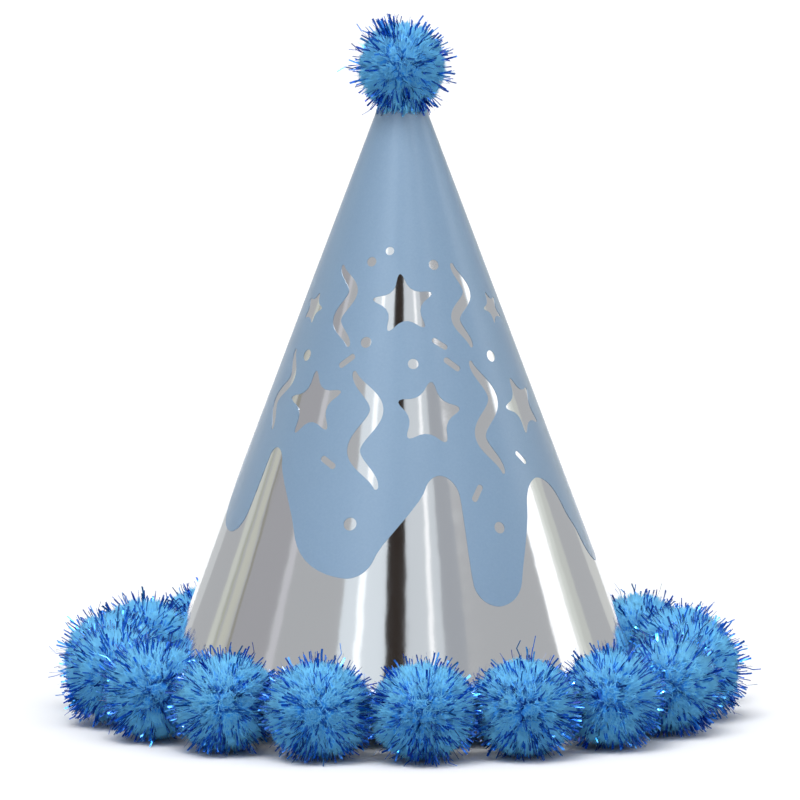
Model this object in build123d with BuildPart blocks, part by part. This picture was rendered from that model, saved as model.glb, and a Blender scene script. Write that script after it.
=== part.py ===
from build123d import *
from math import atan2, cos, degrees, radians, sin, sqrt
import os

# Party hat: a lapped cone of foil-faced card, a tuft on its point and a ring of tufts round its brim.
# Millimetres. +Z is up, the hat stands on its brim tufts at z = 0, and its front faces -Y.
# An angle is counted from the front (-Y) towards +X, which is anticlockwise seen from above.

# ---- Card cone ----
rim_radius = 73.0            # outer face of the card at the rim
point_rise = 192.6           # from the rim to where the outer face would come to a point
rim_height = 12.0            # rim above the table
card_thickness = 0.45
tip_radius = 3.2             # outer radius of the open tip
lap_width = 11.0             # of the lap, measured round the rim
joggle_width = 1.6           # of the step that lifts the outer layer, measured round the rim
edge_gap = 0.4               # between the step and the free edge under the lap, round the rim

# ---- Adhesive film in the lap ----
film_thickness = 0.10
film_margin = 1.2            # of bare card at each side of the film, round the rim
film_end_margin = 2.0        # of bare card below the film and between it and the glue, along the slant

# ---- Punched holes for an elastic cord ----
cord_hole_radius = 1.5
cord_hole_rise = 11.0        # from the rim to the centre of the hole, along the slant

# ---- Brim tufts ----
tuft_count = 18
tuft_radius = 15.4
tuft_ground_squash = 0.5     # of a tuft's radius, where it is pressed flat on the table
tuft_neighbour_gap = 0.4     # between the flats of two tufts that press on each other
tuft_card_gap = 0.6          # between a tuft and the card
first_tuft_angle = 4.0       # degrees, of the first tuft to the right of the front

# ---- Tip tuft ----
tip_tuft_radius = 15.2

# ---- Thread ties ----
thread_radius = 0.4
wrap_core_radius = 1.2       # of the bound fibres inside the thread wrap
wrap_turns = 3
tail_radius = 0.5
knot_radius = 1.7            # of the stop knot below the open tip
knot_drop = 3.0              # from the glue to the centre of the stop knot
thread_clearance = 0.05

# ---- Hot glue ----
bead_radius = 4.5
bead_seat_depth = 1.6        # how far a bead stands inside its tuft
tail_cover = 0.7             # glue between the end of a tail and the card
collar_thickness = 0.9       # of the glue round the card's point
collar_drop = 7.0            # from the open tip to the lower edge of the glue
cap_thickness = 0.6          # of the glue over the open tip
glue_clearance = 0.05

# ---- Sizes that follow ----
slope = rim_radius / point_rise
half_angle = degrees(atan2(rim_radius, point_rise))
normal_out = cos(radians(half_angle))
normal_up = sin(radians(half_angle))
point_height = rim_height + point_rise
tip_height = point_height - tip_radius / slope
slant_length = (rim_radius - tip_radius) / normal_up

lap_angle = degrees(lap_width / rim_radius)
joggle_angle = degrees(joggle_width / rim_radius)
edge_gap_angle = degrees(edge_gap / rim_radius)
film_margin_angle = degrees(film_margin / rim_radius)
lap_lift = card_thickness + film_thickness
film_top = slant_length - collar_drop / normal_out - film_end_margin

tuft_pitch = 360.0 / tuft_count
tuft_angles = [first_tuft_angle + index * tuft_pitch for index in range(tuft_count)]
tuft_height = tuft_radius - tuft_ground_squash
tuft_standoff = tuft_radius + tuft_card_gap
ring_radius = (point_height - tuft_height) * slope + tuft_standoff / normal_out

# The seam and the cord holes lie midway between two tufts: the seam behind, the holes at the sides.
seam_centre_angle = first_tuft_angle + (tuft_count // 2 - 0.5) * tuft_pitch
seam_angle = seam_centre_angle - lap_angle / 2
right_hole_angle = first_tuft_angle + (tuft_count // 4 + 0.5) * tuft_pitch
left_hole_angle = right_hole_angle + 180.0

wrap_radius = wrap_core_radius + thread_radius
wrap_length = 2 * thread_radius * wrap_turns
seat_reach = tuft_radius - bead_seat_depth
cap_height = tip_height + cap_thickness
glue_foot_height = tip_height - collar_drop
tip_tuft_height = cap_height + wrap_length / 2


def axial_plane(angle):
    """Return the plane through the hat's axis at an angle, with x outwards and y up."""
    turn = radians(angle)
    return Plane(origin=(0, 0, 0), x_dir=(sin(turn), -cos(turn), 0), z_dir=(-cos(turn), -sin(turn), 0))


def outward(angle):
    """Return the card's outward normal at an angle round the hat."""
    turn = radians(angle)
    return Vector(normal_out * sin(turn), -normal_out * cos(turn), normal_up)


def tuft_plane(angle):
    """Return the plane at a brim tuft's centre, with x towards the card along the card's normal."""
    turn = radians(angle)
    centre = (ring_radius * sin(turn), -ring_radius * cos(turn), tuft_height)
    return Plane(origin=centre, x_dir=outward(angle) * -1.0, z_dir=(-cos(turn), -sin(turn), 0))


def layer(low, high, inner, outer):
    """Return the corners of a strip of the card wall, in an axial plane.

    low and high are slant distances above the rim; inner and outer are offsets from the outer face.
    """
    corners = []
    for along, off in ((low, inner), (high, inner), (high, outer), (low, outer)):
        across = rim_radius - along * normal_up + off * normal_out
        up = rim_height + along * normal_out + off * normal_up
        corners.append((across, up))
    return corners


def hole_plane(angle):
    """Return the plane on the card's outer face at a cord hole's centre."""
    turn = radians(angle)
    reach = rim_radius - cord_hole_rise * normal_up
    height = rim_height + cord_hole_rise * normal_out
    return Plane(origin=(reach * sin(turn), -reach * cos(turn), height), z_dir=outward(angle))


def tie_section(tail_end):
    """Draw half a tie's section: thread wound round bound fibres, and a tail along x to tail_end."""
    Polyline(
        (wrap_length / 2, wrap_core_radius),
        (wrap_length / 2, tail_radius),
        (tail_end, tail_radius),
        (tail_end, 0),
        (-wrap_length / 2, 0),
        (-wrap_length / 2, wrap_core_radius),
    )
    for turn in range(wrap_turns):
        left = 2 * thread_radius * turn - wrap_length / 2
        ThreePointArc(
            (left, wrap_core_radius),
            (left + thread_radius, wrap_radius),
            (left + 2 * thread_radius, wrap_core_radius),
        )


# ---- Card ----
# The sheet runs round from its free edge under the lap, steps up, and covers that edge.
with BuildPart() as cone_card:
    with BuildSketch(axial_plane(seam_angle)):
        Polygon(*layer(0, slant_length, -card_thickness, 0), align=None)
    revolve(axis=Axis.Z, revolution_arc=360 - joggle_angle)
    with BuildSketch(axial_plane(seam_angle - joggle_angle)):
        Polygon(*layer(0, slant_length, -card_thickness, 0), align=None)
    with BuildSketch(axial_plane(seam_angle - edge_gap_angle)):
        Polygon(*layer(0, slant_length, film_thickness, lap_lift), align=None)
    loft()
    with BuildSketch(axial_plane(seam_angle - edge_gap_angle)):
        Polygon(*layer(0, slant_length, film_thickness, lap_lift), align=None)
    revolve(axis=Axis.Z, revolution_arc=lap_angle + edge_gap_angle)
    for hole_angle in (right_hole_angle, left_hole_angle):
        with BuildSketch(hole_plane(hole_angle)):
            Circle(cord_hole_radius)
        extrude(amount=2 * card_thickness, both=True, mode=Mode.SUBTRACT)
cone_card.part.label = "cone_card"

# ---- Adhesive film ----
with BuildPart() as seam_adhesive:
    with BuildSketch(axial_plane(seam_angle + film_margin_angle)):
        Polygon(*layer(film_end_margin, film_top, 0, film_thickness), align=None)
    revolve(axis=Axis.Z, revolution_arc=lap_angle - 2 * film_margin_angle)
seam_adhesive.part.label = "seam_adhesive"

# ---- Tip glue: a plug in the open tip, over its edge and down the outside as a collar ----
collar_offset = collar_thickness / normal_out
with BuildPart() as tip_glue:
    with BuildSketch(Plane.XZ):
        Polygon(
            (tail_radius, glue_foot_height),
            ((point_height - glue_foot_height) * slope + collar_offset, glue_foot_height),
            ((point_height - cap_height) * slope + collar_offset, cap_height),
            (tail_radius, cap_height),
            align=None,
        )
    revolve(axis=Axis.Z)
    add(cone_card.part, mode=Mode.SUBTRACT)
tip_glue.part.label = "tip_glue"

# ---- Tip tie: the thread wrap on the glue, its tail down through the plug, and the stop knot ----
knot_height = glue_foot_height - knot_drop
tip_plane = Plane(origin=(0, 0, tip_tuft_height), x_dir=(0, 0, -1), z_dir=(0, -1, 0))
with BuildPart() as tip_tie:
    with BuildSketch(tip_plane):
        with BuildLine():
            tie_section(tip_tuft_height - knot_height)
        make_face()
    revolve(axis=Axis.Z)
    with Locations((0, 0, knot_height)):
        Sphere(knot_radius)
tip_tie.part.label = "tip_tie"

# ---- Tip tuft: parted from below over the glued point, with a pocket for the wrap ----
recess_offset = (collar_thickness + glue_clearance) / normal_out
recess_top = cap_height + glue_clearance
recess_top_radius = (point_height - recess_top) * slope + recess_offset
pocket_radius = wrap_radius + thread_clearance
pocket_top = cap_height + wrap_length + thread_clearance
# Where the recess's slanted wall leaves the ball: the lower root of a quadratic in height.
recess_zero = point_height + recess_offset / slope
square = 1 + slope**2
linear = tip_tuft_height + slope**2 * recess_zero
constant = tip_tuft_height**2 + (slope * recess_zero) ** 2 - tip_tuft_radius**2
mouth_height = (linear - sqrt(linear**2 - square * constant)) / square
mouth_radius = (recess_zero - mouth_height) * slope
with BuildPart() as tip_pompom:
    with BuildSketch(Plane.XZ):
        with BuildLine():
            Polyline(
                (mouth_radius, mouth_height),
                (recess_top_radius, recess_top),
                (pocket_radius, recess_top),
                (pocket_radius, pocket_top),
                (0, pocket_top),
                (0, tip_tuft_height + tip_tuft_radius),
            )
            ThreePointArc(
                (0, tip_tuft_height + tip_tuft_radius),
                (tip_tuft_radius, tip_tuft_height),
                (mouth_radius, mouth_height),
            )
        make_face()
    revolve(axis=Axis.Z)
tip_pompom.part.label = "tip_pompom"

# ---- Brim tufts and their ties ----
# A tuft is a ball with a flat where it stands, one where it meets each neighbour, and a seat for its bead.
pocket_half = wrap_length / 2 + thread_clearance
bore_radius = tail_radius + thread_clearance
tail_reach = tuft_standoff - tail_cover
seat_edge = sqrt(tuft_radius**2 - bead_radius**2)
brim_nodes = []
for number, tuft_angle in enumerate(tuft_angles, start=1):
    plane = tuft_plane(tuft_angle)
    seat_axis = Axis(plane.origin, plane.x_dir)
    with BuildPart() as brim_pompom:
        with BuildSketch(plane):
            with BuildLine():
                Polyline(
                    (-tuft_radius, 0),
                    (-pocket_half, 0),
                    (-pocket_half, pocket_radius),
                    (pocket_half, pocket_radius),
                    (pocket_half, bore_radius),
                    (seat_reach, bore_radius),
                    (seat_reach, bead_radius),
                    (seat_edge, bead_radius),
                )
                ThreePointArc((seat_edge, bead_radius), (0, tuft_radius), (-tuft_radius, 0))
            make_face()
        revolve(axis=seat_axis)
        split(bisect_by=Plane.XY, keep=Keep.TOP)
        for side in (-1, 1):
            flat_turn = radians(tuft_angle + side * tuft_pitch / 2)
            inwards = Vector(-side * cos(flat_turn), -side * sin(flat_turn), 0)
            flat = Plane(origin=inwards * (tuft_neighbour_gap / 2), z_dir=inwards)
            split(bisect_by=flat, keep=Keep.TOP)
    brim_pompom.part.label = f"brim_pompom_{number:02d}"
    with BuildPart() as brim_tie:
        with BuildSketch(plane):
            with BuildLine():
                tie_section(tail_reach)
            make_face()
        revolve(axis=seat_axis)
    brim_tie.part.label = f"brim_tie_{number:02d}"
    brim_nodes += [brim_pompom.part, brim_tie.part]

# ---- Glue beads: one behind each brim tuft, moulded to the card and round the tail ----
with BuildPart() as brim_glue_beads:
    for tuft_angle in tuft_angles:
        plane = tuft_plane(tuft_angle)
        with BuildSketch(plane):
            Polygon(
                (seat_reach, tail_radius),
                (tail_reach, tail_radius),
                (tail_reach, 0),
                (tuft_standoff + card_thickness, 0),
                (tuft_standoff + card_thickness, bead_radius),
                (seat_reach, bead_radius),
                align=None,
            )
        revolve(axis=Axis(plane.origin, plane.x_dir))
    with BuildSketch(Plane.XZ):
        Polygon((0, 0), (point_height * slope, 0), (0, point_height), align=None)
    revolve(axis=Axis.Z, mode=Mode.SUBTRACT)
    add(cone_card.part, mode=Mode.SUBTRACT)
brim_glue_beads.part.label = "brim_glue_beads"

os.makedirs("parts", exist_ok=True)
single_nodes = [cone_card, seam_adhesive, tip_glue, tip_tie, tip_pompom, brim_glue_beads]
for piece in [node.part for node in single_nodes] + brim_nodes:
    export_step(piece, f"parts/{piece.label}.step")
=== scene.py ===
import logging
import math
from dataclasses import dataclass, replace
from enum import Enum

import bmesh
import bpy
import numpy as np
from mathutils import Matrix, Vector
from mathutils.geometry import delaunay_2d_cdt


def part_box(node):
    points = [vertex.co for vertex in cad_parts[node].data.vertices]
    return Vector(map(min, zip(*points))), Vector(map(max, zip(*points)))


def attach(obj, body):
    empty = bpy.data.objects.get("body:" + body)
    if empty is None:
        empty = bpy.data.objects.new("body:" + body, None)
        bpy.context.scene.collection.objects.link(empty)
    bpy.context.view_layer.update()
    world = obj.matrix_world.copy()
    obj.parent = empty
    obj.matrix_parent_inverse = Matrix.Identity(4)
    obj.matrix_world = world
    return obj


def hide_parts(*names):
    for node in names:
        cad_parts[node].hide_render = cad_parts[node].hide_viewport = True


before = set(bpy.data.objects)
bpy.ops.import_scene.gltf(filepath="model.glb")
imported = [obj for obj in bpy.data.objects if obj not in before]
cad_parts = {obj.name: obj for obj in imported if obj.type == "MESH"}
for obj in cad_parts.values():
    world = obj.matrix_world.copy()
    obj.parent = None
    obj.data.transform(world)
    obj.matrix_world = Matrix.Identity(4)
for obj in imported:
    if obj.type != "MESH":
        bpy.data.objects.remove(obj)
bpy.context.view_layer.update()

log = logging.getLogger("party_hat")

MM = 0.001
BAKE_MAP = "OFBake"
SHARP_ANGLE = math.radians(35)
MAP_MARGIN = 1.04
TINY = 1e-9
Colour = tuple[float, float, float]


def srgb(red: int, green: int, blue: int) -> Colour:
    """Turn a display colour, 0 to 255 each, into scene-linear values.

    Args:
        red: Red share.
        green: Green share.
        blue: Blue share.

    Returns:
        The linear red, green and blue.
    """
    shares = [value / 255 for value in (red, green, blue)]
    return tuple(s / 12.92 if s <= 0.04045 else ((s + 0.055) / 1.055) ** 2.4 for s in shares)


def unit(vectors: np.ndarray) -> np.ndarray:
    """Scale each row to length one."""
    return vectors / np.maximum(np.linalg.norm(vectors, axis=-1, keepdims=True), 1e-12)


def triangle_mesh(
    name: str, points: np.ndarray, triangles: np.ndarray, uv: np.ndarray, normals: np.ndarray | None = None
) -> bpy.types.Mesh:
    """Make a smooth mesh of triangles with one UV map.

    Args:
        name: The mesh's name.
        points: Vertex places, one row each.
        triangles: Three vertex numbers a row.
        uv: One UV point for each vertex.
        normals: A direction to shade each vertex by, instead of the mesh's own.

    Returns:
        The new mesh.
    """
    mesh = bpy.data.meshes.new(name)
    corners = triangles.astype(np.int32).ravel()
    mesh.vertices.add(len(points))
    mesh.vertices.foreach_set("co", points.astype(np.float32).ravel())
    mesh.loops.add(len(corners))
    mesh.loops.foreach_set("vertex_index", corners)
    mesh.polygons.add(len(triangles))
    mesh.polygons.foreach_set("loop_start", np.arange(0, len(corners), 3, dtype=np.int32))
    layer = mesh.uv_layers.new(name=BAKE_MAP)
    mesh.update(calc_edges=True)
    layer.uv.foreach_set("vector", uv[corners].astype(np.float32).ravel())
    mesh.shade_smooth()
    if normals is not None:
        mesh.normals_split_custom_set_from_vertices(normals.tolist())
    return mesh


def add_piece(mesh: bpy.types.Mesh, node: str) -> bpy.types.Object:
    """Put a mesh in the scene as a piece of the hat, under the mesh's name.

    Args:
        mesh: Its mesh, already in the frame of the CAD model.
        node: The CAD node that it stands for.

    Returns:
        The new object.
    """
    piece = bpy.data.objects.new(mesh.name, mesh)
    bpy.context.scene.collection.objects.link(piece)
    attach(piece, "root")
    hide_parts(node)
    log.info("%s: %d triangles", mesh.name, len(mesh.polygons))
    return piece


# ---------------------------------------------------------------- shader maths


class Sock:
    """A shader value that takes part in ordinary arithmetic."""

    def __init__(self, sheet: "NodeSheet", socket: bpy.types.NodeSocket) -> None:
        """Keep the socket and the sheet that it is on."""
        self.sheet = sheet
        self.socket = socket

    def _math(self, operation: str, first: "Sock | float", second: "Sock | float") -> "Sock":
        """Add one Math node and return its result."""
        return self.sheet.node("ShaderNodeMath", {"operation": operation}, {0: first, 1: second})

    def __add__(self, other: "Sock | float") -> "Sock":
        """Return self + other."""
        return self._math("ADD", self, other)

    def __mul__(self, other: "Sock | float") -> "Sock":
        """Return self * other."""
        return self._math("MULTIPLY", self, other)

    __radd__ = __add__
    __rmul__ = __mul__


class NodeSheet:
    """The node tree of one material or world, written as expressions."""

    def __init__(self, tree: bpy.types.NodeTree) -> None:
        """Empty the tree and keep it."""
        self.tree = tree
        self.tree.nodes.clear()

    def node(
        self, kind: str, settings: dict | None = None, inputs: dict | None = None, result: int | str = 0
    ) -> Sock:
        """Add a node.

        Args:
            kind: The node's type.
            settings: Its own properties, set first; "stops" are a colour ramp's (place, colour) pairs.
            inputs: Values or links for its sockets, by name or number.
            result: Which output to return.

        Returns:
            The chosen output, or the node's first one.
        """
        made = self.tree.nodes.new(kind)
        for key, value in (settings or {}).items():
            if key == "stops":
                self._set_stops(made.color_ramp, value)
            else:
                setattr(made, key, value)
        for key, value in (inputs or {}).items():
            if isinstance(value, Sock):
                self.tree.links.new(value.socket, made.inputs[key])
            elif isinstance(value, tuple) and len(value) == 3 and made.inputs[key].type == "RGBA":
                made.inputs[key].default_value = (*value, 1.0)
            else:
                made.inputs[key].default_value = value
        return Sock(self, made.outputs[result]) if len(made.outputs) else Sock(self, None)

    @staticmethod
    def _set_stops(ramp: bpy.types.ColorRamp, stops: list[tuple[float, Colour]]) -> None:
        """Give a colour ramp its stops.

        Args:
            ramp: The new ramp.
            stops: Places and colours, in order of place.
        """
        while len(ramp.elements) < len(stops):
            ramp.elements.new(1.0)
        for element, (place, colour) in zip(ramp.elements, stops):
            element.position = place
            element.color = (*colour, 1.0)

    def ramp(self, value: Sock, stops: list[tuple[float, Colour]], interpolation: str = "LINEAR") -> Sock:
        """Turn a value into a colour by a ramp.

        Args:
            value: The value, from 0 to 1.
            stops: Places and colours, in order of place.
            interpolation: How the colour runs from one stop to the next.

        Returns:
            The colour.
        """
        made = self.node("ShaderNodeValToRGB", {"stops": stops}, {"Fac": value})
        made.socket.node.color_ramp.interpolation = interpolation
        return made

    def mix(self, share: Sock | float, first: Sock | Colour, second: Sock | Colour) -> Sock:
        """Mix two colours.

        Args:
            share: How much of the second, from 0 to 1.
            first: The first colour.
            second: The second colour.

        Returns:
            The mixed colour.
        """
        return self.node("ShaderNodeMix", {"data_type": "RGBA"}, {0: share, 6: first, 7: second}, 2)

    def noise(self, scale: float, detail: float) -> Sock:
        """Return a noise value in object space."""
        place = self.node("ShaderNodeTexCoord", result="Object")
        return self.node("ShaderNodeTexNoise", None, {"Vector": place, "Scale": scale, "Detail": detail})

    def strand_map(self) -> tuple[Sock, Sock]:
        """Return how far along its strand a point is, and which strand it is on."""
        place = self.node("ShaderNodeUVMap", {"uv_map": BAKE_MAP})
        return tuple(self.node("ShaderNodeSeparateXYZ", None, {0: place}, axis) for axis in (0, 1))

    def bump(self, height: Sock, strength: float, distance: float) -> Sock:
        """Return a normal from a height."""
        inputs = {"Height": height, "Strength": strength, "Distance": distance}
        return self.node("ShaderNodeBump", None, inputs)

    def finish(self, inputs: dict) -> None:
        """Close the material with a Principled BSDF that has these inputs."""
        shader = self.node("ShaderNodeBsdfPrincipled", None, inputs)
        self.node("ShaderNodeOutputMaterial", None, {"Surface": shader})


class Finish:
    """A surface finish: one material, made once."""

    name: str = "finish"

    def material(self) -> bpy.types.Material:
        """Make the material, or find the one already made.

        Returns:
            The material.
        """
        known = bpy.data.materials.get(self.name)
        if known:
            return known
        made = bpy.data.materials.new(self.name)
        made.use_nodes = True
        self.shade(NodeSheet(made.node_tree))
        return made

    def shade(self, sheet: NodeSheet) -> None:
        """Write the finish's nodes."""
        raise NotImplementedError


@dataclass(frozen=True)
class FoilFinish(Finish):
    """Bright silver foil laminated on card, with the card's faint grain showing through."""

    name: str = "silver_foil"
    tint: Colour = (0.86, 0.875, 0.895)
    roughness: float = 0.085
    grain_height: float = 0.00001
    wave_share: float = 14.0
    grain_scale: float = 1300.0
    wave_scale: float = 120.0
    cloud_scale: float = 35.0
    clouded: float = 0.93

    def shade(self, sheet: NodeSheet) -> None:
        """Write the foil's nodes.

        Args:
            sheet: The material's empty node sheet.
        """
        grain = sheet.noise(self.grain_scale, 3.0)
        wave = sheet.noise(self.wave_scale, 1.0)
        cloud = sheet.noise(self.cloud_scale, 2.0)
        colour = sheet.mix(cloud * 0.5, self.tint, tuple(self.clouded * part for part in self.tint))
        sheet.finish({
            "Base Color": colour,
            "Metallic": 1.0,
            "Roughness": cloud * 0.03 + grain * 0.02 + (self.roughness - 0.025),
            "Normal": sheet.bump(grain + wave * self.wave_share, 0.32, self.grain_height),
        })


@dataclass(frozen=True)
class BoardFinish(Finish):
    """Uncoated white paperboard, the inside of the card and its cut edges."""

    name: str = "white_board"
    colour: Colour = srgb(236, 235, 230)
    dull_colour: Colour = srgb(214, 211, 202)
    fibre_scale: float = 1400.0
    cloud_scale: float = 60.0
    fibre_height: float = 0.00004

    def shade(self, sheet: NodeSheet) -> None:
        """Write the board's nodes.

        Args:
            sheet: The material's empty node sheet.
        """
        fibre = sheet.noise(self.fibre_scale, 4.0)
        cloud = sheet.noise(self.cloud_scale, 3.0)
        sheet.finish({
            "Base Color": sheet.mix(cloud * 0.35 + fibre * 0.15, self.colour, self.dull_colour),
            "Roughness": fibre * 0.15 + 0.75,
            "Normal": sheet.bump(fibre, 0.4, self.fibre_height),
        })


@dataclass(frozen=True)
class InkFinish(Finish):
    """Pearly pale blue ink over the foil, a little see-through to its shine."""

    name: str = "pearl_blue_ink"
    colour: Colour = srgb(114, 144, 172)
    shade_colour: Colour = srgb(106, 136, 166)
    roughness: float = 0.5
    metallic: float = 0.10
    pearl_colour: Colour = srgb(176, 196, 214)
    gloss: float = 0.85
    mottle_scale: float = 28.0
    pearl_scale: float = 1500.0
    pearl_height: float = 0.00002

    def shade(self, sheet: NodeSheet) -> None:
        """Write the ink's nodes.

        Args:
            sheet: The material's empty node sheet.
        """
        mottle = sheet.noise(self.mottle_scale, 3.0)
        pearl = sheet.noise(self.pearl_scale, 2.0)
        colour = sheet.mix(mottle * 0.45, self.colour, self.shade_colour)
        colour = sheet.mix(pearl * 0.14, colour, self.pearl_colour)
        sheet.finish({
            "Base Color": colour,
            "Metallic": self.metallic,
            "Roughness": mottle * 0.08 + pearl * 0.06 + (self.roughness - 0.07),
            "Coat Weight": self.gloss,
            "Coat Roughness": 0.2,
            "Normal": sheet.bump(pearl, 0.2, self.pearl_height),
        })


@dataclass(frozen=True)
class PlushFinish(Finish):
    """Sky blue plush yarn, with painted shade: darker towards the fibre roots and in the partings, lighter at
    the fibre ends.
    """

    name: str = "blue_plush"
    # Painted shade: the darker blue given to the fibre roots and the partings, where shade falls.
    painted_shade_colour: Colour = srgb(10, 80, 216)
    middle: Colour = srgb(56, 172, 255)
    pale: Colour = srgb(122, 214, 255)
    varied: Colour = srgb(54, 158, 255)
    sheen: Colour = srgb(120, 196, 255)

    def shade(self, sheet: NodeSheet) -> None:
        """Write the plush's nodes.

        Args:
            sheet: The material's empty node sheet.
        """
        along, fibre = sheet.strand_map()
        # The ramp paints light and shade: darker at the roots and partings, lighter at the fibre ends.
        colour = sheet.ramp(along, [(0.0, self.painted_shade_colour), (0.45, self.middle), (1.0, self.pale)])
        colour = sheet.mix(fibre * 0.2, colour, self.varied)
        sheet.finish({
            "Base Color": colour,
            "Roughness": fibre * 0.15 + 0.75,
            "Sheen Weight": 0.3,
            "Sheen Roughness": 0.4,
            "Sheen Tint": self.sheen,
        })


@dataclass(frozen=True)
class TinselFinish(Finish):
    """Dark iridescent blue film, each strip its own hue from navy through azure and teal to violet."""

    name: str = "blue_tinsel"
    roughness: float = 0.16
    hues: tuple[tuple[float, Colour], ...] = (
        (0.0, srgb(24, 102, 202)),
        (0.26, srgb(26, 114, 218)),
        (0.44, srgb(14, 78, 166)),
        (0.60, srgb(38, 138, 232)),
        (0.74, srgb(12, 108, 158)),
        (0.84, srgb(84, 168, 240)),
        (0.96, srgb(70, 84, 188)),
    )
    end_colour: Colour = srgb(32, 116, 218)

    def shade(self, sheet: NodeSheet) -> None:
        """Write the tinsel's nodes.

        Args:
            sheet: The material's empty node sheet.
        """
        along, strip = sheet.strand_map()
        colour = sheet.ramp(strip, list(self.hues), "CONSTANT")
        colour = sheet.mix(along * 0.25, colour, self.end_colour)
        sheet.finish({
            "Base Color": colour,
            "Metallic": 0.85,
            "Roughness": strip * 0.1 + (self.roughness - 0.05),
            "Coat Weight": 0.6,
            "Coat Roughness": 0.06,
        })


@dataclass(frozen=True)
class GlueFinish(Finish):
    """Milky hot-melt glue, set with a soft wavy skin."""

    name: str = "hot_glue"
    colour: Colour = srgb(232, 229, 214)
    deep_colour: Colour = srgb(205, 200, 182)
    wave_scale: float = 350.0
    wave_height: float = 0.0002

    def shade(self, sheet: NodeSheet) -> None:
        """Write the glue's nodes.

        Args:
            sheet: The material's empty node sheet.
        """
        wave = sheet.noise(self.wave_scale, 1.0)
        sheet.finish({
            "Base Color": sheet.mix(wave * 0.4, self.colour, self.deep_colour),
            "Roughness": wave * 0.12 + 0.22,
            "Subsurface Weight": 0.4,
            "Subsurface Radius": (0.004, 0.0036, 0.003),
            "Subsurface Scale": 0.5,
            "Normal": sheet.bump(wave, 0.5, self.wave_height),
        })


@dataclass(frozen=True)
class ThreadFinish(Finish):
    """Twisted off-white thread, with painted shade in the grooves of its twist."""

    name: str = "tie_thread"
    colour: Colour = srgb(226, 228, 230)
    # Painted shade: the darker grey put in the grooves of the twist, where shade falls.
    painted_groove_shade: Colour = srgb(168, 172, 178)
    twist_scale: float = 900.0
    twist_height: float = 0.0001

    def shade(self, sheet: NodeSheet) -> None:
        """Write the thread's nodes.

        Args:
            sheet: The material's empty node sheet.
        """
        place = sheet.node("ShaderNodeTexCoord", result="Object")
        settings = {"wave_type": "BANDS", "bands_direction": "DIAGONAL"}
        inputs = {"Vector": place, "Scale": self.twist_scale, "Distortion": 1.5}
        twist = sheet.node("ShaderNodeTexWave", settings, inputs, 1)
        sheet.finish({
            # The grooves are painted darker, as shade; the ridges keep the thread's own colour.
            "Base Color": sheet.mix(twist, self.painted_groove_shade, self.colour),
            "Roughness": twist * 0.1 + 0.75,
            "Sheen Weight": 0.3,
            "Normal": sheet.bump(twist, 0.6, self.twist_height),
        })


@dataclass(frozen=True)
class FilmFinish(Finish):
    """Set adhesive film in the lap, faintly yellow."""

    name: str = "adhesive_film"
    colour: Colour = srgb(224, 220, 200)
    bubble_colour: Colour = srgb(198, 190, 160)
    bubble_scale: float = 700.0
    bubble_height: float = 0.00005

    def shade(self, sheet: NodeSheet) -> None:
        """Write the film's nodes.

        Args:
            sheet: The material's empty node sheet.
        """
        bubble = sheet.noise(self.bubble_scale, 2.0)
        sheet.finish({
            "Base Color": sheet.mix(bubble * 0.5, self.colour, self.bubble_colour),
            "Roughness": bubble * 0.2 + 0.3,
            "Normal": sheet.bump(bubble, 0.3, self.bubble_height),
        })


@dataclass(frozen=True)
class FloorFinish(Finish):
    """Plain pale studio sweep."""

    name: str = "studio_floor"
    colour: Colour = (0.90, 0.90, 0.905)

    def shade(self, sheet: NodeSheet) -> None:
        """Write the floor's nodes."""
        sheet.finish({"Base Color": self.colour, "Roughness": 0.9, "Specular IOR Level": 0.1})


@dataclass(frozen=True)
class PanelFinish(Finish):
    """A studio panel of one even brightness."""

    name: str = "panel"
    colour: Colour = (1.0, 1.0, 1.0)
    strength: float = 1.0

    def shade(self, sheet: NodeSheet) -> None:
        """Write the panel's nodes."""
        glow = sheet.node("ShaderNodeEmission", None, {"Color": self.colour, "Strength": self.strength})
        sheet.node("ShaderNodeOutputMaterial", None, {"Surface": glow})


# ---------------------------------------------------------------- the card cone


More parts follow.
